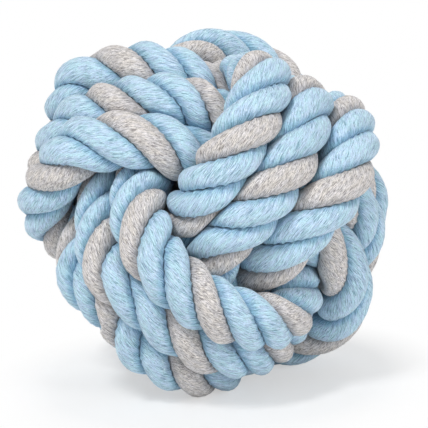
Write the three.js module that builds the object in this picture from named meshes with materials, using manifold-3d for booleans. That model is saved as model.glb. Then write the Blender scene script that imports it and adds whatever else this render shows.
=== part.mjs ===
// A rope ball for a dog: one thick cotton rope tied as a monkey's fist round a packed core.
//
// The rope makes three wraps, square to each other. Each wrap is three turns side by side, and
// a turn passes over one neighbouring wrap on two opposite sides of the ball and under the other
// wrap on the two sides between them. Seen along a corner of the ball, the three wraps are the
// same shape a third of a turn apart, so one wrap is worked out here and set out three times.
// Millimetres, +Z up. The ball stands on z = 0, on the three ropes round its lowest corner.

import * as THREE from 'three';
import { mergeVertices } from 'three/addons/utils/BufferGeometryUtils.js';
import Module from 'manifold-3d';

// Driving sizes
const ropeDiameter = 9.1;
const ropeClearance = 0.55;
const coreClearance = 0.35;
const cutOverrun = 5;

// What the rope's route is made of, as shares of the pitch between two neighbouring ropes.
// A level is the distance from the ball's centre, where a turn passes over and where under.
const middleOverShare = 3.35;
const middleUnderShare = 2.35;
const outerOverShare = 3.56;
const outerUnderShare = 1.88;
const spreadOverShare = 1.13;
const spreadUnderShare = 0.84;
const shoulderShare = 0.12;
const crestShare = 0.04;
const passingShare = 0.16;
const tuckDepthShare = 0.57;
const tuckSpreadShare = 0.19;
const coreLiftShare = 0.3;
const floorCutShare = 0.1;
const swellStartShare = 2.8;
const ballRadiusShare = 3.42;

// How the ball was pulled out of round when it was tied, seen from the front: degrees
// anticlockwise from +X, then how far the rope at the rim lies outwards, as a share of the pitch.
const rimPullShares = [
  [0, 0], [85, 0], [105, -0.1], [125, 0], [185, 0], [200, 0.15], [210, -0.1], [222, -0.3], [240, -0.1],
  [265, 0.1], [290, 0.05], [310, 0], [325, -0.15], [345, -0.15], [360, 0],
];

// Where each wrap's turns were pulled off the even route by hand: degrees of travel, then shares
// of the pitch along X, Y and Z.
const wrapSlackShares = [
  [
    [0, 0, 0, 0], [20, 0, 0, 0], [40, -0.05, 0, 0.05], [55, -0.1, 0, 0.1], [75, 0.05, 0, 0],
    [92, 0.05, 0, 0], [104, 0, 0, -0.05], [116, 0, 0.05, -0.15], [136, 0, 0.05, -0.1], [160, 0, 0, 0],
    [376, 0, 0, 0], [396, -0.25, 0, 0.2], [414, -0.15, 0, 0.1], [440, 0, 0, 0], [454, 0, 0, -0.05],
    [466, -0.05, 0, -0.3], [492, -0.05, 0.05, -0.35], [520, 0, 0, -0.05], [540, 0, 0, 0],
    [735, 0, 0, 0], [749, 0.05, 0.05, 0], [770, -0.05, 0, 0.05], [790, 0.05, 0, 0],
    [804, 0.1, 0, -0.05], [816, 0.15, 0, -0.05], [828, -0.1, 0.05, -0.3], [842, 0, 0.05, -0.2],
    [869, 0, 0, -0.05], [890, 0, 0, 0], [990, 0, 0, 0], [1012, 0.15, 0, 0.1], [1036, 0.15, 0, 0.15],
    [1060, 0, 0, 0], [1080, 0, 0, 0],
  ],
  [
    [0, 0, 0, 0], [215, 0, 0, 0], [230, 0.05, 0, 0], [250, 0.15, 0, 0.1], [263, 0.1, 0, 0],
    [280, 0.05, 0, 0.05], [296, 0, 0, 0.1], [320, 0, 0, 0], [560, 0, 0, 0], [575, 0.15, 0, 0],
    [590, 0.1, 0, 0], [618, 0.05, -0.05, 0], [640, 0, 0, 0], [656, 0, 0, 0.05], [680, 0, 0, 0],
    [800, 0, 0, 0], [813, 0.05, 0, 0.1], [830, 0, 0, 0.05], [846, 0.05, -0.05, 0],
    [869, 0, 0.05, -0.05], [890, 0, 0, 0], [915, 0, 0, 0], [929, 0, 0.1, -0.1], [940, 0.1, 0, 0],
    [958, 0.1, 0, 0.05], [976, 0, 0, 0], [992, 0, 0, 0], [1010, 0, 0, 0.05], [1040, 0, 0, 0],
    [1080, 0, 0, 0],
  ],
  [
    [0, 0, 0, 0], [10, 0.05, 0, 0.05], [29, 0.2, 0.1, 0.25], [48, 0.05, 0, 0], [60, 0, 0, 0],
    [81, 0.05, 0, -0.15], [92, 0.05, 0, -0.15], [103, 0.05, 0, -0.1], [118, 0, 0, -0.15],
    [134, 0, 0, -0.1], [160, 0, 0, 0], [236, 0, 0, 0], [262, 0.1, 0, -0.1], [277, 0, 0, 0.05],
    [290, 0, 0, 0.05], [320, 0, 0, 0], [375, 0, 0, 0], [389, 0, 0, 0.05], [405, 0, 0, 0],
    [452, 0, 0, 0], [470, 0.05, 0, -0.2], [483, 0, 0, -0.2], [494, 0, 0, -0.05], [504, 0, 0, -0.1],
    [520, 0, 0, 0], [538, -0.05, 0.05, -0.05], [555, 0, 0, 0], [790, 0, 0, 0], [810, -0.15, 0, 0.15],
    [822, 0, 0.1, -0.05], [838, 0, 0.05, -0.05], [856, 0, 0, -0.05], [869, -0.1, 0, -0.1],
    [890, 0, 0, 0], [915, 0, 0, 0], [929, -0.05, 0, -0.05], [945, 0, 0, 0], [1080, 0, 0, 0],
  ],
];

// The corners of the rope's section as shares of its half width, outwards from the ball's centre
// and then sideways: between its neighbours, and where nothing presses on its back and it swells.
const pressedCornerShares = [
  [0.9, 0.5], [0, 1], [-0.9, 0.5],
  [-0.9, -0.5], [0, -1], [0.9, -0.5],
];
const swollenCornerShares = [
  [1.09, 0.65], [0.33, 1.03], [-0.9, 0.5],
  [-0.9, -0.5], [0.33, -1.03], [1.09, -0.65],
];

// Turns, angles and facets
const wrapCount = 3;
const turnsPerWrap = 3;
const stepsPerTurn = 24;
const ropeSides = pressedCornerShares.length;
const laneChangeAngle = THREE.MathUtils.degToRad(27.5);
const tuckAngle = THREE.MathUtils.degToRad(40);
const endAngle = THREE.MathUtils.degToRad(14);
const facingAngle = THREE.MathUtils.degToRad(-30);
const fullTurn = 2 * Math.PI;
const coreSegmentsAround = 28;
const coreSegmentsDown = 16;
const gapSamplesPerStep = 4;

const ropePitch = ropeDiameter + ropeClearance;
const up = new THREE.Vector3(0, 0, 1);
const cornerDirection = new THREE.Vector3(1, 1, 1).normalize();

const ropeMaterial = new THREE.MeshStandardMaterial({ color: 0xa9cbe2, roughness: 0.95, metalness: 0 });
const coreMaterial = new THREE.MeshStandardMaterial({ color: 0xd8d5cf, roughness: 1, metalness: 0 });

// The rope's route

// Eases from 0 to 1 while the value runs from start to end.
function ease(value, start, end) {
  return THREE.MathUtils.smoothstep(value, start, end);
}

// A share that swings between its values over and under the neighbouring wraps, at an angle.
function betweenPasses(over, under, angle) {
  return (over + under) / 2 + (over - under) / 2 * Math.cos(2 * angle);
}

// The lane is -1, 0 or 1 for the three turns of a wrap. It changes under a neighbouring wrap.
function laneAt(travel) {
  let lane = -(turnsPerWrap - 1) / 2;
  for (let turn = 1; turn < turnsPerWrap; turn += 1) {
    const change = turn * fullTurn;
    lane += ease(travel, change - laneChangeAngle, change + laneChangeAngle);
  }
  return lane;
}

// How far a wrap's end has gone inside the ball, from 0 to 1.
function tuckAt(travel) {
  const fromEnd = Math.min(travel, turnsPerWrap * fullTurn - travel);
  return 1 - ease(fromEnd, 0, tuckAngle);
}

// The rope's centre after an angle of travel, with X through the over passes, Y through the
// under passes and Z across the turns.
function routePoint(travel) {
  const angle = travel - fullTurn / 4;
  const lane = laneAt(travel);
  const tuck = tuckAt(travel);
  const middle = betweenPasses(middleOverShare, middleUnderShare, angle);
  const outer = betweenPasses(outerOverShare, outerUnderShare, angle);
  const shoulder = shoulderShare * (1 - Math.cos(4 * angle));
  const crest = crestShare * (Math.cos(2 * angle) - Math.cos(6 * angle));
  const level = middle + (outer - middle) * lane * lane + shoulder + crest - tuckDepthShare * tuck;
  const spread = betweenPasses(spreadOverShare, spreadUnderShare, angle) + tuckSpreadShare * tuck;
  const across = lane * spread + passingShare * Math.sin(Math.PI * lane);
  const inPlane = Math.sqrt(level * level - across * across);
  return new THREE.Vector3(inPlane * Math.cos(angle), inPlane * Math.sin(angle), across)
    .multiplyScalar(ropePitch);
}

// Turns a wrap's own axes so that a corner of the ball points up, then round to its place.
function wrapTurn(index) {
  const stand = new THREE.Quaternion().setFromUnitVectors(cornerDirection, up);
  const angle = facingAngle + index * fullTurn / wrapCount;
  return new THREE.Quaternion().setFromAxisAngle(up, angle).multiply(stand);
}

// The values at a place in a list whose rows each hold a place and its values.
function valuesAt(rows, place) {
  const next = Math.max(rows.findIndex((row) => row[0] >= place), 1);
  const before = rows[next - 1];
  const after = rows[next];
  const share = (place - before[0]) / (after[0] - before[0]);
  return after.slice(1).map((value, column) => THREE.MathUtils.lerp(before[column + 1], value, share));
}

// Moves a point of the even route to where the rope was pulled to when the ball was tied.
function pullPoint(point, travel, slackShares) {
  const around = THREE.MathUtils.euclideanModulo(Math.atan2(point.z, point.x), fullTurn);
  const [rimPullShare] = valuesAt(rimPullShares, THREE.MathUtils.radToDeg(around));
  const fromMiddle = Math.hypot(point.x, point.z) / (ballRadiusShare * ropePitch);
  const stretch = 1 + rimPullShare / ballRadiusShare * fromMiddle;
  const slack = new THREE.Vector3(...valuesAt(slackShares, THREE.MathUtils.radToDeg(travel)));
  return new THREE.Vector3(point.x * stretch, point.y, point.z * stretch)
    .addScaledVector(slack, ropePitch);
}

// One wrap's centre points. Both ends stay inside the ball, under the neighbouring wrap.
function wrapRoute(index) {
  const turn = wrapTurn(index);
  const start = endAngle;
  const end = turnsPerWrap * fullTurn - endAngle;
  const steps = Math.round((end - start) / fullTurn * stepsPerTurn);
  const points = [];
  for (let step = 0; step <= steps; step += 1) {
    const travel = start + (end - start) * step / steps;
    const point = routePoint(travel).applyQuaternion(turn);
    points.push(pullPoint(point, travel, wrapSlackShares[index]));
  }
  return points;
}

// Solids

// The corners of the rope's section at one of the route's points. A flat side faces away from the
// ball's centre.
function sectionCorners(points, index) {
  const point = points[index];
  const before = points[Math.max(index - 1, 0)];
  const after = points[Math.min(index + 1, points.length - 1)];
  const along = after.clone().sub(before).normalize();
  const outward = point.clone().addScaledVector(along, -point.dot(along)).normalize();
  const sideways = along.clone().cross(outward);
  const swell = ease(point.length(), swellStartShare * ropePitch, middleOverShare * ropePitch);
  return pressedCornerShares.map((pressed, corner) => {
    const swollen = swollenCornerShares[corner];
    const [out, aside] = pressed.map((share, axis) => THREE.MathUtils.lerp(share, swollen[axis], swell));
    return point.clone()
      .addScaledVector(outward, out * ropeDiameter / 2)
      .addScaledVector(sideways, aside * ropeDiameter / 2);
  });
}

// A closed tube of flat sides along the points.
function ropeTube(points) {
  const positions = [];
  const indices = [];
  points.forEach((point, index) => {
    sectionCorners(points, index).forEach((corner) => positions.push(corner.x, corner.y, corner.z));
  });
  for (let ring = 0; ring < points.length - 1; ring += 1) {
    for (let side = 0; side < ropeSides; side += 1) {
      const a = ring * ropeSides + side;
      const b = ring * ropeSides + (side + 1) % ropeSides;
      const c = a + ropeSides;
      const d = b + ropeSides;
      indices.push(a, b, d, a, d, c);
    }
  }
  const lastRing = (points.length - 1) * ropeSides;
  for (let side = 1; side < ropeSides - 1; side += 1) {
    indices.push(0, side + 1, side);
    indices.push(lastRing, lastRing + side, lastRing + side + 1);
  }
  const geometry = new THREE.BufferGeometry();
  geometry.setAttribute('position', new THREE.Float32BufferAttribute(positions, 3));
  geometry.setIndex(indices);
  return geometry;
}

const wasm = await Module();
wasm.setup();

function toSolid(geometry) {
  const bare = geometry.clone();
  bare.deleteAttribute('normal');
  bare.deleteAttribute('uv');
  const merged = mergeVertices(bare);
  return new wasm.Manifold(new wasm.Mesh({
    numProp: 3,
    vertProperties: new Float32Array(merged.attributes.position.array),
    triVerts: new Uint32Array(merged.index.array),
  }));
}

function toGeometry(solid) {
  const mesh = solid.getMesh();
  const geometry = new THREE.BufferGeometry();
  geometry.setAttribute('position', new THREE.BufferAttribute(new Float32Array(mesh.vertProperties), 3));
  geometry.setIndex(new THREE.BufferAttribute(new Uint32Array(mesh.triVerts), 1));
  geometry.computeVertexNormals();
  return geometry;
}

// A slab that reaches down from z = 0, wide enough to trim the whole ball.
function slabBelowFloor() {
  const width = 2 * (ropePitch * outerOverShare + ropeDiameter) + cutOverrun;
  const slab = new THREE.BoxGeometry(width, width, cutOverrun);
  slab.translate(0, 0, -cutOverrun / 2);
  return toSolid(slab);
}

// Gaps

// Points on a tube's long edges and along the middles of its sides, by their place on the route.
function surfaceSamples(points) {
  const rings = points.map((point, index) => {
    const corners = sectionCorners(points, index);
    return corners.flatMap((corner, side) => {
      const next = corners[(side + 1) % ropeSides];
      return [corner, corner.clone().lerp(next, 0.5)];
    });
  });
  const samples = [];
  for (let ring = 0; ring < rings.length - 1; ring += 1) {
    rings[ring].forEach((point, index) => {
      for (let part = 0; part < gapSamplesPerStep; part += 1) {
        const share = part / gapSamplesPerStep;
        samples.push({ place: ring + share, point: point.clone().lerp(rings[ring + 1][index], share) });
      }
    });
  }
  return samples;
}

// The least distance between samples that lie at least the given number of steps apart.
function leastGap(first, second, stepsApart) {
  let least = Infinity;
  first.forEach((a) => {
    second.forEach((b) => {
      if (Math.abs(a.place - b.place) >= stepsApart) {
        least = Math.min(least, a.point.distanceToSquared(b.point));
      }
    });
  });
  return Math.sqrt(least);
}

// Assembly

const ball = new THREE.Group();
const wrapNames = ['first_wrap', 'second_wrap', 'third_wrap'];
const wrapPoints = wrapNames.map((name, index) => wrapRoute(index));
const wrapTubes = wrapPoints.map(ropeTube);
let lowest = Infinity;
wrapTubes.forEach((tube) => {
  tube.computeBoundingBox();
  lowest = Math.min(lowest, tube.boundingBox.min.z);
});

// The ball sinks a share of the rope's thickness below the floor, and is cut flat there.
const centreHeight = -lowest - floorCutShare * ropeDiameter;
const belowFloor = slabBelowFloor();
wrapTubes.forEach((tube, index) => {
  tube.translate(0, 0, centreHeight);
  const wrap = new THREE.Mesh(toGeometry(toSolid(tube).subtract(belowFloor)), ropeMaterial);
  wrap.name = wrapNames[index];
  ball.add(wrap);
});

// The core fills the hollow between the wraps, and sits above the ends that are tucked into it.
const wrapSamples = wrapPoints.map(surfaceSamples);
const coreCentre = new THREE.Vector3(0, 0, coreLiftShare * ropePitch);
const coreDistances = wrapSamples.flat().map((sample) => sample.point.distanceTo(coreCentre));
const coreRadius = coreDistances.reduce((least, distance) => Math.min(least, distance)) - coreClearance;
const core = new THREE.Mesh(
  new THREE.SphereGeometry(coreRadius, coreSegmentsAround, coreSegmentsDown),
  coreMaterial,
);
core.name = 'packed_core';
core.position.copy(coreCentre);
core.position.z += centreHeight;
ball.add(core);

const gapsToThemselves = wrapSamples.map((samples) => leastGap(samples, samples, stepsPerTurn / 2));
const gapsToNext = wrapSamples.map((samples, index) => (
  leastGap(samples, wrapSamples[(index + 1) % wrapCount], 0)
));
let ropeLength = 0;
wrapPoints.forEach((points) => {
  points.slice(1).forEach((point, index) => {
    ropeLength += point.distanceTo(points[index]);
  });
});
console.log(`least gap of a wrap to itself ${Math.min(...gapsToThemselves).toFixed(2)} mm`);
console.log(`least gap between two wraps ${Math.min(...gapsToNext).toFixed(2)} mm`);
console.log(`rope in the three wraps ${ropeLength.toFixed(0)} mm`);

export default ball;
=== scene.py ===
import math

import bmesh
import bpy
import numpy as np
from mathutils import Matrix, Vector, noise


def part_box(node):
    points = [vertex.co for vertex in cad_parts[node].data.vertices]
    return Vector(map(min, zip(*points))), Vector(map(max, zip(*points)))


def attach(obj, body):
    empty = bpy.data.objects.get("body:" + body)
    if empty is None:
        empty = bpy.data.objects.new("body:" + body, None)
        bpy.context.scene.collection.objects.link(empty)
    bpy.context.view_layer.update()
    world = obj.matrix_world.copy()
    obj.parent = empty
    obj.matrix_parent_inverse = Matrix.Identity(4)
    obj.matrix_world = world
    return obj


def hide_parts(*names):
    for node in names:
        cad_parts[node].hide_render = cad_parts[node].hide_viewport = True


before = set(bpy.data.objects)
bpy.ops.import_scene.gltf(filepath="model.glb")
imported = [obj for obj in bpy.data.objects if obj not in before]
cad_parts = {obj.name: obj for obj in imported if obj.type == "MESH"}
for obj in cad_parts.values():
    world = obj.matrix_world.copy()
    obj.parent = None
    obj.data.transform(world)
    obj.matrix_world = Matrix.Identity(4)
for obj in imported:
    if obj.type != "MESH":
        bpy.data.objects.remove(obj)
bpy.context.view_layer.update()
print("frame loaded:", ", ".join(sorted(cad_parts)))

mm = 0.001
fullTurn = 2 * math.pi

# The rope's route through the knot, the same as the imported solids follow. Levels, measured from the
# ball's centre, and spreads are shares of the pitch.
route = {
    "pitch": 9.65 * mm,
    "middleOver": 3.35,  # the middle turn of a wrap, where it goes over its neighbour
    "middleUnder": 2.35,
    "outerOver": 3.56,
    "outerUnder": 1.88,
    "spreadOver": 1.13,  # from the middle turn to an outer one
    "spreadUnder": 0.84,
    "shoulder": 0.12,  # raises a turn between its crests and its dives
    "crest": 0.04,  # raises both sides of a crest and lowers both sides of a dive
    "passing": 0.16,  # how much further out a turn lies halfway through a change of lane
    "tuckDepth": 0.57,  # how far a wrap's end goes in
    "tuckSpread": 0.19,  # and how far aside
    "coreLift": 0.3,
    "turns": 3,
    "laneChange": math.radians(27.5),  # of travel, on each side of the change
    "tuck": math.radians(40),
    "end": math.radians(14),  # of travel, left off each end
    "facing": math.radians(-30),
}
wrapNames = ["first_wrap", "second_wrap", "third_wrap"]

# The ball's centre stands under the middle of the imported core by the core's lift.
coreLow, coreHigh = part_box("packed_core")
coreCentre = (coreLow + coreHigh) / 2
ballCentre = Vector((0, 0, coreCentre.z - route["coreLift"] * route["pitch"]))


def easeBetween(value, start, end):
    share = np.clip((value - start) / (end - start), 0, 1)
    return share * share * (3 - 2 * share)


def betweenPasses(over, under, angle):
    return (over + under) / 2 + (over - under) / 2 * np.cos(2 * angle)


def laneAt(travel):  # -1, 0 or 1 for the three turns of a wrap
    lane = np.full_like(travel, -1.0)
    for turn in range(1, route["turns"]):
        change = turn * fullTurn
        lane += easeBetween(travel, change - route["laneChange"], change + route["laneChange"])
    return lane


def tuckAt(travel):  # how far a wrap's end has gone inside the ball
    return 1 - easeBetween(np.minimum(travel, route["turns"] * fullTurn - travel), 0, route["tuck"])


def routePoints(travel):
    angle = travel - fullTurn / 4
    lane, tuck = laneAt(travel), tuckAt(travel)
    middle = betweenPasses(route["middleOver"], route["middleUnder"], angle)
    outer = betweenPasses(route["outerOver"], route["outerUnder"], angle)
    shoulder = route["shoulder"] * (1 - np.cos(4 * angle))
    crest = route["crest"] * (np.cos(2 * angle) - np.cos(6 * angle))
    level = middle + (outer - middle) * lane**2 + shoulder + crest - route["tuckDepth"] * tuck
    spread = betweenPasses(route["spreadOver"], route["spreadUnder"], angle) + route["tuckSpread"] * tuck
    across = lane * spread + route["passing"] * np.sin(math.pi * lane)
    inPlane = np.sqrt(level**2 - across**2)
    points = np.stack([inPlane * np.cos(angle), inPlane * np.sin(angle), across], 1)
    return points * route["pitch"]


def wrapTurn(index):  # stands a corner of the ball upright, then turns the wrap to its place
    stand = Vector((1, 1, 1)).rotation_difference(Vector((0, 0, 1))).to_matrix()
    angle = route["facing"] + index * fullTurn / len(wrapNames)
    return np.array(Matrix.Rotation(angle, 3, "Z") @ stand)


# The laid rope: three strands of yarn, two blue and one grey heather
rope = {
    "radius": 5.4 * mm,  # where nothing presses on it
    "spread": 0.1,  # how much wider it lies than it is thick
    "shear": 0.15,  # how far a strand runs ahead on one side of the rope and behind on the other
    "lay": 19.3 * mm,  # one full turn of the strands
    "layEase": 21,  # steps over which the lay changes
    "slackEase": math.radians(14),  # of travel, over which a turn goes off its line
    "step": 1.0 * mm,
    "samples": 6000,  # of a wrap's route, before it is cut into even steps
    "pressGap": 0.06 * mm,  # left between two ropes that press on each other
    "pressSoftness": 0.25 * mm,
    "floorSoftness": 0.4 * mm,
    "reach": 13.5 * mm,  # how far a rope looks for its neighbours
    "apart": 16 * mm,  # along the rope, before it can press on itself
    "directions": 120,  # round the rope, in which it looks
    "plumpness": 0.02,  # how much the rope's radius varies along it
    "plumpWaves": (31 * mm, 17 * mm),
}
strandKinds = [("grey_strand", "grey_cotton"), ("blue_strand_a", "blue_cotton"),
               ("blue_strand_b", "blue_cotton")]
strandCount = len(strandKinds)

# Where the strands lie on each turn that shows: degrees of travel, then turns of the lay
twistMarks = {
    "first_wrap": [(41, 1.12), (68, 1.85), (106, 2.72), (396, 10.22), (412, 10.64), (425, 11.07),
                   (438, 11.36), (462, 11.76), (773, 20.52), (789, 21.03), (818, 21.8)],
    "second_wrap": [(234, 0.3), (255, 1.12), (291, 2.0), (577, 9.35), (598, 10.08), (612, 10.45),
                    (653, 11.36), (810, 16.0), (846, 16.75), (950, 19.8), (1016, 21.7)],
    "third_wrap": [(60, 0.45), (134, 2.22), (228, 4.14), (247, 4.45), (268, 5.02), (281, 5.28),
                   (440, 9.42), (457, 9.6), (502, 10.85), (570, 13.05), (588, 13.42), (620, 14.3),
                   (800, 19.55), (822, 19.85), (845, 20.42), (955, 23.32)],
}

# How the ball was pulled out of round when tied, seen from the front: degrees anticlockwise from
# +X, then millimetres outwards at the rim
rimMarks = [(0, 0), (85, 0), (105, -1), (125, 0), (185, 0), (200, 1.5), (210, -1), (222, -3), (240, -1),
            (265, 1), (290, 0.5), (310, 0), (325, -1.5), (345, -1.5)]
ballRadius = 33 * mm  # to the rope's middle

# Where a turn lies off that, as pulled by hand: degrees of travel, then millimetres along X, Y, Z
slackMarks = {
    "first_wrap": [(20, 0, 0, 0), (40, -0.5, 0, 0.5), (55, -1, 0, 1), (75, 0.5, 0, 0), (92, 0.5, 0, 0),
                   (104, 0, 0, -0.5), (116, 0, 0.5, -1.5), (136, 0, 0.5, -1), (160, 0, 0, 0),
                   (376, 0, 0, 0), (396, -2.5, 0, 2), (414, -1.5, 0, 1), (440, 0, 0, 0),
                   (454, 0, 0, 0), (462, 0, 0, -0.5), (474, -0.5, 0, -4.5), (492, -0.5, 1, -5),
                   (520, 0, 0, -0.5), (540, 0, 0, 0), (735, 0, 0, 0), (749, 0.5, 0.5, 0),
                   (770, -0.5, 0, 0.5), (790, 0.5, 0, 0), (804, 1, 0, -0.5), (816, 1, 0, 0),
                   (832, -2, 1, -4), (846, -3, 1, -4.5), (869, 0, 0, -0.5), (890, 0, 0, 0),
                   (990, 0, 0, 0), (1012, 1.5, 0, 1), (1036, 1.5, 0, 1.5), (1060, 0, 0, 0)],
    "second_wrap": [(215, 0, 0, 0), (230, 0.5, 0, 0), (250, 1.5, 0, 1), (263, 1, 0, 0),
                    (280, 0.5, 0, 0.5), (296, 0, 0, 1), (320, 0, 0, 0), (560, 0, 0, 0),
                    (575, 1.5, 0, 0), (590, 1, 0, 0), (618, 0.5, -0.5, 0), (640, 0, 0, 0),
                    (656, 0, 0, 0.5), (680, 0, 0, 0), (800, 0, 0, 0), (813, 0.5, 0, 1),
                    (830, 0, 0, 0.5), (846, 0.5, -0.5, 0), (869, 0, 0.5, -0.5), (890, 0, 0, 0),
                    (915, 0, 0, 0), (929, 0, 1, -1), (940, 1, 0, 0), (958, 1, 0, 0.5),
                    (976, 0, 0, 0), (992, 0, 0, 0), (1010, 0, 0, 0.5), (1040, 0, 0, 0)],
    "third_wrap": [(10, 0.5, 0, 0.5), (29, 2, 1, 2.5), (48, 0.5, 0, 0), (60, 0, 0, 0),
                   (81, 0.5, 0, -1.5), (92, 0, 0, -1.5), (103, -1, 0, -0.5), (118, 0, 0, -1.5),
                   (134, 0, 0, -1), (160, 0, 0, 0), (202, 0, 0, 0), (216, -1, 0, 0),
                   (232, -1, 0, 0), (248, 0, 0, 0), (262, 1, 0, -1), (277, 0, 0, 0.5),
                   (290, 0, 0, 0.5), (320, 0, 0, 0), (375, 0, 0, 0), (389, 0, 0, 0.5),
                   (405, 0, 0, 0), (452, 0, 0, 0), (470, 0.5, 0, -2), (483, 0, 0, -2),
                   (494, 0, 0, -0.5), (504, 0, 0, -1), (520, 0, 0, 0), (538, -0.5, 0.5, -0.5),
                   (555, 0, 0, 0), (790, 0, 0, 0), (810, -1.5, 0, 1.5), (822, 0, 1, -0.5),
                   (838, 0, 0.5, -0.5), (856, 0, 0, -0.5), (869, -1, 0, -1), (890, 0, 0, 0),
                   (915, 0, 0, 0), (929, -0.5, 0, -0.5), (945, 0, 0, 0)],
}


def unitVectors(vectors):
    return vectors / np.linalg.norm(vectors, axis=1)[:, None]


def smoothAlong(values, width):
    kernel = np.hanning(width + 2)[1:-1]
    padded = np.pad(values, width // 2, mode="reflect", reflect_type="odd")
    return np.convolve(padded, kernel / kernel.sum(), mode="valid")[: len(values)]


def linePoints(travel, index, name):
    # The route at its wrap's place, pulled out of round at the rim and then off its line
    marks = np.array(slackMarks[name], float)
    slack = [np.interp(np.degrees(travel), marks[:, 0], marks[:, axis] * mm) for axis in (1, 2, 3)]
    width = round(len(travel) / (route["turns"] * fullTurn) * rope["slackEase"])
    slack = np.stack([smoothAlong(values, width) for values in slack], 1)
    points = routePoints(travel) @ wrapTurn(index).T
    rim = np.array(rimMarks)
    angle = np.degrees(np.arctan2(points[:, 2], points[:, 0])) % 360
    pull = np.interp(angle, rim[:, 0], rim[:, 1], period=360) * mm / ballRadius
    fromMiddle = np.hypot(points[:, 0], points[:, 2]) / ballRadius
    points[:, [0, 2]] *= (1 + pull * fromMiddle)[:, None]
    return points + slack


def ropeLine(index, name):
    # A wrap's centre line in even steps, its own directions there, and how far the strands have turned
    travel = np.linspace(route["end"], route["turns"] * fullTurn - route["end"], rope["samples"])
    points = linePoints(travel, index, name)
    length = np.r_[0, np.cumsum(np.linalg.norm(np.diff(points, axis=0), axis=1))]
    count = round(length[-1] / rope["step"]) + 1
    along = np.linspace(0, length[-1], count)
    travel = np.interp(along, length, travel)
    points = linePoints(travel, index, name)
    forward = unitVectors(np.gradient(points, axis=0))
    outward = unitVectors(points - (points * forward).sum(1)[:, None] * forward)

    marks = np.array(twistMarks[name], float)
    markAlong = np.interp(np.radians(marks[:, 0]), travel, along)
    before = (markAlong[0] - along[0]) / rope["lay"]
    after = (along[-1] - markAlong[-1]) / rope["lay"]
    places = np.r_[along[0], markAlong, along[-1]]
    turns = np.r_[marks[0, 1] - before, marks[:, 1], marks[-1, 1] + after]
    return {
        "name": name,
        "along": along,
        "points": points + np.array(ballCentre),
        "forward": forward,
        "outward": outward,
        "sideways": np.cross(forward, outward),
        "twist": smoothAlong(np.interp(along, places, turns), rope["layEase"]),
    }


def roomRound(line, lines, angles):
    # In each direction from the rope's centre, how far it is to the surface midway to a neighbour
    leastAhead = 1e-6  # a neighbour that lies behind sets no limit
    others = np.concatenate([other["points"] for other in lines])
    alongs = np.concatenate([
        other["along"] if other is line else np.full(len(other["along"]), np.inf) for other in lines
    ])
    room = np.full((len(line["points"]), len(angles)), np.inf)
    for ring, point in enumerate(line["points"]):
        away = others - point
        distance = np.linalg.norm(away, axis=1)
        near = (distance < rope["reach"]) & (np.abs(alongs - line["along"][ring]) > rope["apart"])
        if near.any():
            directions = (np.cos(angles)[:, None] * line["outward"][ring]
                          + np.sin(angles)[:, None] * line["sideways"][ring])
            ahead = np.maximum(directions @ away[near].T, leastAhead)
            room[ring] = (distance[near] ** 2 / (2 * ahead)).min(1)
    return room - rope["pressGap"] / 2


# One strand of the rope. The shape of its section is in shares of the rope's radius.
strand = {
    "back": 0.64,  # radius of its round back
    "nose": 0.1,  # from the rope's middle to where its two flanks meet
    "fit": 0.985,  # how much of its third of the rope it fills
    "middle": 0.55,  # the place towards which it is drawn in for that
    "backPoints": 160,
    "flankPoints": 60,
    "yarns": 32,
    "pointsPerYarn": 3,
    "yarnHeight": 0.06 * mm,
    "yarnSunk": 0.6,  # share of that height below the strand's skin
    "yarnSwell": 0.3,  # how much that height varies
    "yarnWander": 0.04 * mm,
    "yarnWaves": (11 * mm, 6 * mm, 3.7 * mm),
    "waveStretch": (0.8, 1.25),
    "seed": 5,
    "seedPerWrap": 100,
    "seedPerStrand": 10,
    "mapShift": 40.0,  # millimetres from one strand's fibres to the next one's
}


def strandOutline():
    # A round back between two flat flanks that meet the other strands near the rope's middle
    back = strand["back"]
    centre = 1 - back
    flank = fullTurn / 2 / strandCount
    reach = flank + math.asin(centre * math.sin(flank) / back)  # where the back meets the flank
    turn = np.linspace(-reach, reach, strand["backPoints"])
    backPoints = np.stack([centre + back * np.cos(turn), back * np.sin(turn)], 1)
    nose = np.array([strand["nose"], 0])
    corner = backPoints[-1]
    down = corner + (nose - corner) * np.linspace(0, 1, strand["flankPoints"])[1:, None]
    upAgain = down[::-1] * np.array([1, -1])
    points = np.concatenate([backPoints, down, upAgain[1:]])
    middle = np.array([strand["middle"], 0])
    points = middle + (points - middle) * strand["fit"]
    steps = np.linalg.norm(np.diff(points, axis=0, append=points[:1]), axis=1)
    place = np.r_[0, np.cumsum(steps)]
    backShare = place[len(backPoints) - 1] / place[-1]
    return points, place[:-1] / place[-1], backShare, place[-1]


def softLeast(value, limit, softness):
    # The lesser of the two, rounded where they meet
    unfelt = 50  # softnesses from the limit
    gap = np.minimum(limit - value, unfelt * softness)
    return value - softness * np.log1p(np.exp(-gap / softness))


def waves(places, rows, lengths, seed):
    # Smooth chance along the rope, in rows of their own, between about -1 and 1
    rng = np.random.default_rng(seed)
    total = np.zeros((len(places), rows))
    for length in lengths:
        phase = rng.uniform(0, fullTurn, rows)
        stretch = rng.uniform(*strand["waveStretch"], rows)
        total += np.sin(fullTurn * places[:, None] * stretch / length + phase)
    return total / len(lengths)


def pressOnFloor(points):
    soft = rope["floorSoftness"]
    low = points[..., 2] < soft
    points[low, 2] = soft * np.exp((points[low, 2] - soft) / soft)
    return points


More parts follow.
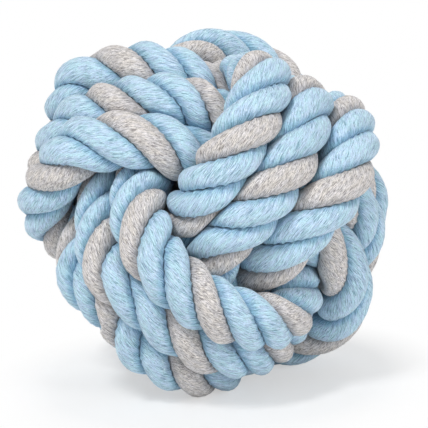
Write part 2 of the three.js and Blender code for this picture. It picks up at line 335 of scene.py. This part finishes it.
def layStrand(line, room, angles, which, seed):
    # The strand as a ring of points at each step of the rope, and the length round it
    outline, places, backShare, perimeter = strandOutline()
    perYarn = strand["pointsPerYarn"]
    columns = strand["yarns"] * perYarn
    column = np.arange(columns)
    along, twist = line["along"], line["twist"]
    # The yarns run round the strand as it turns, so that on its back they follow the rope's own line.
    loop = (column[None] / columns - strandCount * backShare * twist[:, None]) % 1
    x = np.interp(loop, places, outline[:, 0], period=1)
    y = np.interp(loop, places, outline[:, 1], period=1)
    swell = 1 + rope["plumpness"] * waves(along, 1, rope["plumpWaves"], seed)
    x, y = x * rope["radius"] * swell, y * rope["radius"] * swell

    # Each yarn is a low ridge, and stands a little more or less proud along its way.
    ridge = np.sin(math.pi * (column % perYarn) / perYarn)[None] - strand["yarnSunk"]
    proud = waves(along, strand["yarns"], strand["yarnWaves"], seed + 1)[:, column // perYarn]
    lift = strand["yarnHeight"] * ridge * (1 + strand["yarnSwell"] * proud) + strand["yarnWander"] * proud
    backCentre = (1 - strand["back"]) * rope["radius"]
    fromMiddle = np.hypot(x - backCentre, y)
    x = x + lift * (x - backCentre) / fromMiddle
    y = y + lift * y / fromMiddle

    # Neighbours press it in.
    turned = np.arctan2(y, x) + fullTurn * (twist[:, None] + which / strandCount)
    distance = np.hypot(x, y) * (1 + rope["spread"] * np.sin(turned) ** 2)
    free = np.empty_like(distance)
    for ring in range(len(along)):
        free[ring] = np.interp(turned[ring], angles, room[ring], period=fullTurn)
    distance = softLeast(distance, free, rope["pressSoftness"])
    aside = distance * np.sin(turned)
    rings = (line["points"][:, None]
             + (distance * np.cos(turned))[..., None] * line["outward"][:, None]
             + aside[..., None] * line["sideways"][:, None]
             + (rope["shear"] * aside)[..., None] * line["forward"][:, None])
    return pressOnFloor(rings), perimeter * rope["radius"]


def pressedShare(rings, along, others, otherAlongs):
    # Painted shade: 1 where a strand's skin meets another strand, and less the further it stands clear
    middles = rings.mean(1)
    share = np.zeros(rings.shape[:2])
    for ring, middle in enumerate(middles):
        inReach = np.linalg.norm(others - middle, axis=1) < rope["reach"]
        near = inReach & (np.abs(otherAlongs - along[ring]) > rope["apart"])
        if near.any():
            toOther = np.linalg.norm(rings[ring][:, None] - others[near][None], axis=2).min(1)
            share[ring] = np.linalg.norm(rings[ring] - middle, axis=1) / toOther
    return np.clip(share, 0, 1)


# A strand's own map: its side cut into rows, and its two end caps as small discs beside them
surfaceMap = {
    "rows": 5,
    "left": 0.005,
    "width": 0.97,
    "rowGap": 0.02,  # share of a row left free below and above
    "capAcross": 0.987,
    "capHeights": (0.25, 0.75),
    "capRadius": 0.008,
}


def tubeFaces(rings, columns):
    ring, column = np.meshgrid(np.arange(rings - 1), np.arange(columns), indexing="ij")
    following = (column + 1) % columns
    faces = np.stack([
        ring * columns + column,
        ring * columns + following,
        (ring + 1) * columns + following,
        (ring + 1) * columns + column,
    ], -1)
    return ring, column, faces.reshape(-1, 4)


def rowPlaces(cornerRing, cornerShare, ring, ringCount):
    rows, gap = surfaceMap["rows"], surfaceMap["rowGap"]
    ringsInRow = math.ceil((ringCount - 1) / rows)
    row = ring.reshape(-1, 1) // ringsInRow
    left = (cornerRing - row * ringsInRow) / ringsInRow * surfaceMap["width"] + surfaceMap["left"]
    low = (row + gap + (1 - 2 * gap) * cornerShare) / rows
    return np.stack([left, low], -1)


def capPlaces(columns):
    turn = np.arange(columns) / columns * fullTurn
    following = np.roll(turn, -1)
    caps = []
    for height, edges in zip(surfaceMap["capHeights"], ((following, turn), (turn, following))):
        centre = np.array([surfaceMap["capAcross"], height])
        around = [np.stack([np.cos(edge), np.sin(edge)], 1) for edge in edges]
        rim = [centre + surfaceMap["capRadius"] * directions for directions in around]
        caps.append(np.stack([np.tile(centre, (columns, 1)), *rim], 1).reshape(-1, 2))
    return caps


def strandMesh(name, rings, along, perimeter, shift, pressed):
    # A closed tube from rings of points, with one map for the yarns and one for its own surface
    ringCount, columns = rings.shape[:2]
    points = rings.reshape(-1, 3)
    ring, column, faces = tubeFaces(ringCount, columns)
    caps = np.array([rings[0].mean(0), rings[-1].mean(0)])
    first, last = len(points), len(points) + 1
    startFan = [(first, (c + 1) % columns, c) for c in range(columns)]
    lastRing = (ringCount - 1) * columns
    endFan = [(last, lastRing + c, lastRing + (c + 1) % columns) for c in range(columns)]
    mesh = bpy.data.meshes.new(name)
    mesh.from_pydata(np.concatenate([points, caps]).tolist(), [], faces.tolist() + startFan + endFan)

    corners = np.array([(0, 0), (0, 1), (1, 1), (1, 0)])
    cornerRing = ring.reshape(-1, 1) + corners[:, 0]
    cornerShare = (column.reshape(-1, 1) + corners[:, 1]) / columns
    yarnPlaces = np.stack([cornerShare * perimeter / mm + shift, along[cornerRing] / mm], -1)
    surfacePlaces = rowPlaces(cornerRing, cornerShare, ring, ringCount)
    for layerName, tube in (("yarnMap", yarnPlaces), ("OFBake", surfacePlaces)):
        values = np.concatenate([tube.reshape(-1, 2), *capPlaces(columns)])
        layer = mesh.uv_layers.new(name=layerName, do_init=False)
        layer.uv.foreach_set("vector", values.astype(np.float32).ravel())
    # the share of painted shade in the creases between strands, read by the cotton's colour
    mark = mesh.attributes.new("pressed", "FLOAT", "POINT")
    mark.data.foreach_set("value", np.r_[pressed.ravel(), 1, 1].astype(np.float32))
    mesh.shade_smooth()
    mesh.validate()
    return mesh


def toLinear(colour):  # from a colour as it looks, in 0 to 255, to the light a shader takes
    parts = [value / 255 for value in colour]
    return [part / 12.92 if part <= 0.04045 else ((part + 0.055) / 1.055) ** 2.4 for part in parts] + [1]


class NodeBench:  # adds nodes to a material or a world and joins them up
    def __init__(self, owner):
        owner.use_nodes = True
        self.owner = owner
        self.tree = owner.node_tree

    def add(self, kind, settings=None, **values):
        node = self.tree.nodes.new(kind)
        for key, value in (settings or {}).items():
            setattr(node, key, value)
        for key, value in values.items():
            self.plug(node.inputs[key], value)
        return node

    def plug(self, socket, value):
        if isinstance(value, bpy.types.NodeSocket):
            self.tree.links.new(value, socket)
        else:
            socket.default_value = value

    def math(self, operation, *values):
        node = self.add("ShaderNodeMath", {"operation": operation})
        for socket, value in zip(node.inputs, values):
            self.plug(socket, value)
        return node.outputs[0]

    def mix(self, factor, first, second, blend="MIX"):
        settings = {"data_type": "RGBA", "blend_type": blend}
        return self.add("ShaderNodeMix", settings, Factor=factor, A=first, B=second).outputs["Result"]

    def ramp(self, factor, low, high):
        values = {"Value": factor, "From Min": low, "From Max": high}
        node = self.add("ShaderNodeMapRange", {"interpolation_type": "SMOOTHSTEP"}, **values)
        return node.outputs["Result"]

    def setSurface(self, values):
        surface = self.tree.nodes["Principled BSDF"]
        for key, value in values.items():
            self.plug(surface.inputs[key], value)
        return surface.outputs[0]


# What both cottons share, with sizes in millimetres across and along the fibres
cotton = {
    "drift": 0.6,  # millimetres that the fibres wander
    "driftSize": (1.2, 2.4),
    "slant": 0.2,  # of the fibres that cross the others
    "fibreGain": 0.7,
    "fibreBase": -0.2,
    "contrast": 0.14,
    "dyeSize": (0.9, 2.4),  # of the patches of the two dyes
    "dyeEdge": (0.38, 0.62),
    "speckEdge": 0.08,
    # share above which the painted shade between strands starts
    "pressedFrom": 0.68,
    "grain": {"Scale": 1.0, "Roughness": 0.6},
    "cloud": {"Scale": 70.0, "Detail": 2.0},
    "lint": {"Scale": 4500.0, "Detail": 1.0},
    "cloudGain": 0.12,
    "cloudBase": 0.88,
    "lintGain": 0.5,
    "lintBase": 0.75,
    "fineRelief": 0.35,  # streaks and lint, beside the fibres
    "relief": 0.1 * mm,
    "reliefShare": 0.8,
    "roughness": 0.9,
    "gloss": 0.15,
    "sheen": 0.3,
    "sheenRoughness": 0.5,
    "noiseStarts": {"drift": 31.7, "fibre": 7.3, "crossing": 23.9, "streak": 0.0, "speck": 15.1,
                    "dye": 41.9},
}

# Their own colours, as they look in plain light, and sizes
blueCotton = {
    "dark": (126, 159, 181),
    "middle": (185, 214, 233),
    "light": (208, 234, 250),
    "speck": (228, 246, 254),
    "speckShare": 0.64,
    "tints": ((248, 255, 251), (254, 250, 255)),  # of the two dyes in its yarns
    "pressed": (214, 230, 238),  # tint of the painted shade where strands press together
    "fibre": (0.11, 1.7),
    "streak": (0.3, 2.4),
    "speckSize": (0.14, 1.0),
}
greyCotton = {
    "dark": (140, 137, 136),
    "middle": (213, 211, 209),
    "light": (238, 236, 234),
    "speck": (152, 148, 146),
    "speckShare": 0.6,
    "tints": ((255, 251, 248), (252, 250, 253)),
    # tint of the painted shade where strands press together
    "pressed": (236, 236, 238),
    "fibre": (0.11, 1.0),
    "streak": (0.3, 2.0),
    "speckSize": (0.12, 0.6),
}


def stretchedNoise(bench, across, along, size, start, detail=2):
    x = bench.math("DIVIDE", across, size[0])
    y = bench.math("DIVIDE", along, size[1])
    place = bench.add("ShaderNodeCombineXYZ", X=x, Y=y, Z=start).outputs[0]
    grain = bench.add("ShaderNodeTexNoise", Vector=place, Detail=detail, **cotton["grain"])
    return grain.outputs["Fac"]


def cottonMaterial(name, look):
    bench = NodeBench(bpy.data.materials.new(name))
    start = cotton["noiseStarts"]
    yarns = bench.add("ShaderNodeUVMap", {"uv_map": "yarnMap"})
    split = bench.add("ShaderNodeSeparateXYZ", Vector=yarns.outputs[0])
    across, along = split.outputs["X"], split.outputs["Y"]
    drift = stretchedNoise(bench, across, along, cotton["driftSize"], start["drift"])
    across = bench.math("ADD", across, bench.math("MULTIPLY", drift, cotton["drift"]))
    slanted = bench.math("ADD", across, bench.math("MULTIPLY", along, cotton["slant"]))
    fibre = stretchedNoise(bench, across, along, look["fibre"], start["fibre"])
    crossing = stretchedNoise(bench, slanted, along, look["fibre"], start["crossing"])
    fibre = bench.math("MULTIPLY_ADD", bench.math("ADD", fibre, crossing), cotton["fibreGain"],
                       cotton["fibreBase"])
    streak = stretchedNoise(bench, across, along, look["streak"], start["streak"])
    speck = stretchedNoise(bench, across, along, look["speckSize"], start["speck"], 1)
    dye = stretchedNoise(bench, across, along, cotton["dyeSize"], start["dye"])
    place = bench.add("ShaderNodeTexCoord").outputs["Object"]
    cloud = bench.add("ShaderNodeTexNoise", Vector=place, **cotton["cloud"]).outputs["Fac"]
    lint = bench.add("ShaderNodeTexNoise", Vector=place, **cotton["lint"]).outputs["Fac"]

    # The fibres' own colours, then both dyes, the painted shade where strands meet, and clouds and lint
    # over all
    dark, middle, light, spot = (toLinear(look[key]) for key in ("dark", "middle", "light", "speck"))
    low, high = 0.5 - cotton["contrast"], 0.5 + cotton["contrast"]
    colour = bench.mix(bench.ramp(fibre, low, 0.5), dark, middle)
    colour = bench.mix(bench.ramp(fibre, 0.5, high), colour, light)
    specks = bench.ramp(speck, look["speckShare"], look["speckShare"] + cotton["speckEdge"])
    colour = bench.mix(specks, colour, spot)
    tint = bench.mix(bench.ramp(dye, *cotton["dyeEdge"]), *(toLinear(tint) for tint in look["tints"]))
    colour = bench.mix(1.0, colour, tint, "MULTIPLY")
    # Painted shade: the colour darkens towards the creases where a strand meets another
    pressed = bench.add("ShaderNodeAttribute", {"attribute_name": "pressed"}).outputs["Fac"]
    pressed = bench.ramp(pressed, cotton["pressedFrom"], 1.0)
    colour = bench.mix(pressed, colour, bench.mix(1.0, colour, toLinear(look["pressed"]), "MULTIPLY"))
    tone = bench.math("MULTIPLY_ADD", bench.math("ADD", cloud, streak), cotton["cloudGain"],
                      cotton["cloudBase"])
    linty = bench.math("MULTIPLY_ADD", lint, cotton["lintGain"], cotton["lintBase"])
    tone = bench.math("MULTIPLY", tone, linty)
    plain = bench.add("ShaderNodeCombineColor", Red=tone, Green=tone, Blue=tone).outputs[0]

    fine = bench.math("MULTIPLY", bench.math("ADD", streak, lint), cotton["fineRelief"])
    relief = bench.add("ShaderNodeBump", Height=bench.math("ADD", fibre, fine),
                       Distance=cotton["relief"], Strength=cotton["reliefShare"])
    bench.setSurface({
        "Base Color": bench.mix(1.0, colour, plain, "MULTIPLY"),
        "Normal": relief.outputs[0],
        "Roughness": cotton["roughness"],
        "Specular IOR Level": cotton["gloss"],
        "Sheen Weight": cotton["sheen"],
        "Sheen Roughness": cotton["sheenRoughness"],
    })
    return bench.owner


def addPiece(name, mesh, material, slot, *replaced):
    piece = bpy.data.objects.new(name, mesh)
    bpy.context.scene.collection.objects.link(piece)
    piece.data.materials.append(material)
    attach(piece, "root")
    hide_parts(*replaced)


cottons = {
    "blue_cotton": cottonMaterial("blueCotton", blueCotton),
    "grey_cotton": cottonMaterial("greyCotton", greyCotton),
}
lines = [ropeLine(index, name) for index, name in enumerate(wrapNames)]
angles = np.linspace(-math.pi, math.pi, rope["directions"], endpoint=False)
for index, line in enumerate(lines):
    room = roomRound(line, lines, angles)
    firstSeed = strand["seed"] + strand["seedPerWrap"] * index
    line["strands"] = [
        layStrand(line, room, angles, which, firstSeed + strand["seedPerStrand"] * which)
        for which in range(strandCount)
    ]
    print("laid", line["name"], "with", len(line["along"]), "rings")

strands = [(line, rings) for line in lines for rings, perimeter in line["strands"]]
middles = np.concatenate([rings.mean(1) for line, rings in strands])
for index, line in enumerate(lines):
    for which, (kind, slot) in enumerate(strandKinds):
        rings, perimeter = line["strands"][which]
        middleAlongs = np.concatenate([
            owner["along"] if other is rings else np.full(len(other), np.inf) for owner, other in strands
        ])
        # painted shade where the strand's skin comes close to other strands
        pressed = pressedShare(rings, line["along"], middles, middleAlongs)
        name = line["name"] + "_" + kind
        shift = strand["mapShift"] * (strandCount * index + which)
        mesh = strandMesh(name, rings, line["along"], perimeter, shift, pressed)
        addPiece(name, mesh, cottons[slot], slot, line["name"])
print("made", len(strands), "strands")


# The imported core: loose cotton that the wraps press into shape
core = {
    "most": 14.5 * mm,  # from its middle, in the hollows between the wraps
    "lumps": 0.5 * mm,
    "lumpSize": 6 * mm,
    "gap": 0.15 * mm,
    "subdivisions": 5,
    "smoothing": 0.5,
    "shade": (196, 195, 192),
    "light": (226, 225, 222),
    "shadeEdge": (0.35, 0.65),
    "tufts": {"Scale": 400.0, "Detail": 4.0, "Roughness": 0.7},
    "wisps": {"Scale": 1500.0, "Detail": 3.0, "Distortion": 1.5},
    "tuftShare": 0.6,
    "wispShare": 0.4,
    "relief": 0.3 * mm,
    "reliefShare": 0.6,
    "roughness": 1.0,
    "gloss": 0.1,
    "sheen": 0.2,
}


def coreMaterial():
    bench = NodeBench(bpy.data.materials.new("coreCotton"))
    place = bench.add("ShaderNodeTexCoord").outputs["Object"]
    tufts = bench.add("ShaderNodeTexNoise", Vector=place, **core["tufts"]).outputs["Fac"]
    wisps = bench.add("ShaderNodeTexNoise", Vector=place, **core["wisps"]).outputs["Fac"]
    mixed = bench.math("ADD", bench.math("MULTIPLY", tufts, core["tuftShare"]),
                       bench.math("MULTIPLY", wisps, core["wispShare"]))
    shade = bench.ramp(mixed, *core["shadeEdge"])
    relief = bench.add("ShaderNodeBump", Height=mixed, Distance=core["relief"],
                       Strength=core["reliefShare"])
    bench.setSurface({
        "Base Color": bench.mix(shade, toLinear(core["shade"]), toLinear(core["light"])),
        "Normal": relief.outputs[0],
        "Roughness": core["roughness"],
        "Specular IOR Level": core["gloss"],
        "Sheen Weight": core["sheen"],
    })
    return bench.owner


def buildCore():
    # A ball that swells until it meets the rope
    shape = bmesh.new()
    bmesh.ops.create_icosphere(shape, subdivisions=core["subdivisions"], radius=1)
    directions = np.array([vertex.co for vertex in shape.verts])
    ropePoints = np.concatenate([line["points"] for line in lines]) - np.array(coreCentre)
    ahead = directions @ ropePoints.T
    missed = (ropePoints**2).sum(1)[None] - ahead**2
    reach = rope["radius"] + core["gap"]
    meets = (missed < reach**2) & (ahead > 0)
    entry = np.where(meets, ahead - np.sqrt(np.maximum(reach**2 - missed, 0)), core["most"])
    radius = np.minimum(entry.min(1), core["most"])
    for vertex, direction, size in zip(shape.verts, directions, radius):
        lump = noise.noise(Vector(direction) * (core["most"] / core["lumpSize"]))
        vertex.co = coreCentre + Vector(direction) * (size - core["lumps"] * (0.5 + 0.5 * lump))
    bmesh.ops.smooth_vert(shape, verts=shape.verts, factor=core["smoothing"], use_axis_x=True,
                          use_axis_y=True, use_axis_z=True)
    mesh = bpy.data.meshes.new("packed_core_cotton")
    shape.to_mesh(mesh)
    shape.free()
    mesh.shade_smooth()
    return mesh


addPiece("packed_core_cotton", buildCore(), coreMaterial(), "core_cotton", "packed_core")
print("packed the core")

# Camera at the photograph's viewing angle
camera = {
    "azimuth": math.radians(0.55),
    "elevation": math.radians(9.65),
    "roll": math.radians(-2.6),
    "distance": 289.5 * mm,
    "pixelsPerPitch": 47.17,  # the rope's pitch at the ball's centre, in the photograph
    "frame": 428,
    "ballAt": (208.1, 207.6),  # the ball's centre in the photograph, in pixels
    "sensor": 36.0,
    "clip": (0.01, 20),
}


def addCamera():
    data = bpy.data.cameras.new("camera")
    focal = camera["pixelsPerPitch"] / route["pitch"] * camera["distance"]  # in pixels
    data.sensor_width = camera["sensor"]
    data.lens = focal / camera["frame"] * camera["sensor"]
    data.clip_start, data.clip_end = camera["clip"]
    azimuth, elevation = camera["azimuth"], camera["elevation"]
    back = Vector((math.sin(azimuth) * math.cos(elevation), -math.cos(azimuth) * math.cos(elevation),
                   math.sin(elevation)))
    level = (-back).to_track_quat("-Z", "Y").to_matrix()
    turn = level @ Matrix.Rotation(camera["roll"], 3, "Z")
    half = camera["frame"] / 2
    right, up = turn.col[0], turn.col[1]
    metresPerPixel = camera["distance"] / focal
    shift = (right * (half - camera["ballAt"][0]) - up * (half - camera["ballAt"][1])) * metresPerPixel
    eye = bpy.data.objects.new("camera", data)
    eye.location = ballCentre + back * camera["distance"] + shift
    eye.rotation_euler = turn.to_euler()
    bpy.context.scene.collection.objects.link(eye)
    bpy.context.scene.camera = eye


addCamera()

# Floor and light
studio = {
    "floor": (250, 250, 250),
    "floorSize": 6.0,
    "floorCells": 24,
    "floorRoughness": 0.9,
    "floorGloss": 0.1,
    "grain": (235, 235, 235),  # of its faint mottling
    "grainNoise": {"Scale": 60.0, "Detail": 3.0},
    "grainShare": 0.02,
    "fadeFrom": 0.018,  # metres from the ball, where the floor turns to the plain white behind it
    "fadeTo": 0.052,
    "paleNear": 0.5,  # share of that white close to the ball, where the rest shows its shadow
    "ambient": 0.46,
    "lamps": [  # place, size, watts
        ((-0.45, -0.75, 1.2), 0.3, 10.5),
        ((0.85, -0.95, 0.55), 0.4, 4.2),
        ((0.1, 1.0, 1.1), 0.5, 3.0),
    ],
}


def seenDirectly(bench):
    # 1 for what the camera sees, also in a mirror or through glass
    path = bench.add("ShaderNodeLightPath")
    either = bench.math("MAXIMUM", path.outputs["Is Camera Ray"], path.outputs["Is Glossy Ray"])
    return bench.math("MAXIMUM", either, path.outputs["Is Transmission Ray"])


def floorMaterial():
    bench = NodeBench(bpy.data.materials.new("paleFloor"))
    place = bench.add("ShaderNodeTexCoord").outputs["Object"]
    away = bench.add("ShaderNodeVectorMath", {"operation": "LENGTH"})
    bench.plug(away.inputs[0], place)
    fade = bench.math("MAXIMUM", studio["paleNear"],
                      bench.ramp(away.outputs["Value"], studio["fadeFrom"], studio["fadeTo"]))
    fade = bench.math("MULTIPLY", fade, seenDirectly(bench))
    grain = bench.add("ShaderNodeTexNoise", Vector=place, **studio["grainNoise"])
    grain = bench.math("MULTIPLY", grain.outputs["Fac"], studio["grainShare"])
    lit = bench.setSurface({
        "Base Color": bench.mix(grain, toLinear(studio["floor"]), toLinear(studio["grain"])),
        "Roughness": studio["floorRoughness"],
        "Specular IOR Level": studio["floorGloss"],
    })
    plain = bench.add("ShaderNodeEmission", Color=(1, 1, 1, 1), Strength=1.0).outputs[0]
    both = bench.add("ShaderNodeMixShader")
    for socket, value in zip(both.inputs, (fade, lit, plain)):
        bench.plug(socket, value)
    bench.plug(bench.tree.nodes["Material Output"].inputs["Surface"], both.outputs[0])
    return bench.owner


def addFloor():
    shape = bmesh.new()
    cells = studio["floorCells"]
    bmesh.ops.create_grid(shape, x_segments=cells, y_segments=cells, size=studio["floorSize"] / 2)
    mesh = bpy.data.meshes.new("floor")
    shape.to_mesh(mesh)
    shape.free()
    mesh.materials.append(floorMaterial())
    floor = bpy.data.objects.new("floor", mesh)
    bpy.context.scene.collection.objects.link(floor)


def addWorld():
    world = bpy.data.worlds.new("studio")
    bench = NodeBench(world)
    values = {"Value": seenDirectly(bench), "To Min": studio["ambient"]}
    strength = bench.add("ShaderNodeMapRange", **values)
    background = bench.tree.nodes["Background"]
    bench.plug(background.inputs["Strength"], strength.outputs["Result"])
    bench.plug(background.inputs["Color"], (1, 1, 1, 1))
    bpy.context.scene.world = world


def addLamps():
    for number, (place, size, watts) in enumerate(studio["lamps"]):
        data = bpy.data.lights.new("soft_lamp_%d" % number, "AREA")
        data.shape = "DISK"
        data.size = size
        data.energy = watts
        lamp = bpy.data.objects.new(data.name, data)
        lamp.location = place
        lamp.rotation_euler = (ballCentre - Vector(place)).to_track_quat("-Z", "Y").to_euler()
        bpy.context.scene.collection.objects.link(lamp)


addFloor()
addWorld()
addLamps()
bpy.context.scene.view_settings.view_transform = "Standard"
print("set the studio")
